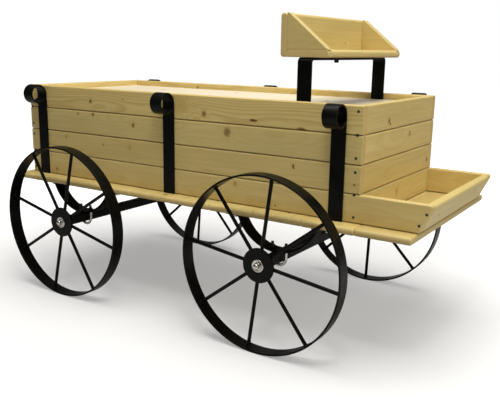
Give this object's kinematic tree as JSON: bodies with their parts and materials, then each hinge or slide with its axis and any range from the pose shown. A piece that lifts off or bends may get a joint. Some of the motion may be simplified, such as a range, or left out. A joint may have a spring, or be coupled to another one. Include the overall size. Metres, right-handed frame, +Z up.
{
  "type": "garden cart",
  "caption": "Wooden buckboard-style display cart with a board-sided bed, footboard tray, bench seat, stake straps with rolled loops, bow springs and spoked steel wheels.",
  "frame": {"origin": "on the ground, under the middle of the cart's overall length and width", "axes": "+X towards the front, where the seat and the tray are; +Y to the cart's left; +Z up"},
  "size_m": [1.3515, 0.7308, 0.835],
  "materials": {
    "pine": "planed pine boards, clear finish",
    "panel": "plain wooden sheet, clear finish",
    "black_steel": "satin black paint",
    "spring_steel": "satin black paint",
    "zinc": "bright zinc plate"
  },
  "bodies": {
    "cart": {"display_deck": "panel", "floor_board_1": "pine", "floor_board_2": "pine", "floor_board_3": "pine", "floor_board_4": "pine", "floor_board_5": "pine", "floor_board_6": "pine", "floor_board_7": "pine", "floor_board_8": "pine", "floor_board_9": "pine", "front_axle": "black_steel", "front_left_axle_cap": "zinc", "front_left_axle_clamp": "zinc", "front_left_spring": "spring_steel", "front_right_axle_cap": "zinc", "front_right_axle_clamp": "zinc", "front_right_spring": "spring_steel", "front_wall_board_1": "pine", "front_wall_board_2": "pine", "front_wall_board_3": "pine", "front_wall_board_4": "pine", "left_front_stake_strap": "black_steel", "left_middle_stake_strap": "black_steel", "left_rear_stake_strap": "black_steel", "left_seat_cheek": "pine", "left_side_board_1": "pine", "left_side_board_2": "pine", "left_side_board_3": "pine", "left_side_board_4": "pine", "rear_axle": "black_steel", "rear_left_axle_cap": "zinc", "rear_left_axle_clamp": "zinc", "rear_left_spring": "spring_steel", "rear_right_axle_cap": "zinc", "rear_right_axle_clamp": "zinc", "rear_right_spring": "spring_steel", "rear_wall_board_1": "pine", "rear_wall_board_2": "pine", "rear_wall_board_3": "pine", "rear_wall_board_4": "pine", "right_front_stake_strap": "black_steel", "right_middle_stake_strap": "black_steel", "right_rear_stake_strap": "black_steel", "right_seat_cheek": "pine", "right_side_board_1": "pine", "right_side_board_2": "pine", "right_side_board_3": "pine", "right_side_board_4": "pine", "seat_back": "pine", "seat_bracket": "black_steel", "seat_plank": "pine", "tray_front_board": "pine"},
    "front_left_wheel": {"front_left_wheel_hoop": "black_steel", "front_left_wheel_spider": "black_steel"},
    "front_right_wheel": {"front_right_wheel_hoop": "black_steel", "front_right_wheel_spider": "black_steel"},
    "rear_left_wheel": {"rear_left_wheel_hoop": "black_steel", "rear_left_wheel_spider": "black_steel"},
    "rear_right_wheel": {"rear_right_wheel_hoop": "black_steel", "rear_right_wheel_spider": "black_steel"}
  },
  "joints": [
    {"name": "front_left_wheel_turn", "type": "hinge", "parent": "cart", "child": "front_left_wheel", "pos_m": [0.28474, 0.342, 0.2286], "axis": [0, 1, 0], "continuous": true},
    {"name": "front_right_wheel_turn", "type": "hinge", "parent": "cart", "child": "front_right_wheel", "pos_m": [0.28474, -0.342, 0.2286], "axis": [0, 1, 0], "continuous": true},
    {"name": "rear_left_wheel_turn", "type": "hinge", "parent": "cart", "child": "rear_left_wheel", "pos_m": [-0.42077, 0.342, 0.2286], "axis": [0, 1, 0], "continuous": true},
    {"name": "rear_right_wheel_turn", "type": "hinge", "parent": "cart", "child": "rear_right_wheel", "pos_m": [-0.42077, -0.342, 0.2286], "axis": [0, 1, 0], "continuous": true}
  ]
}
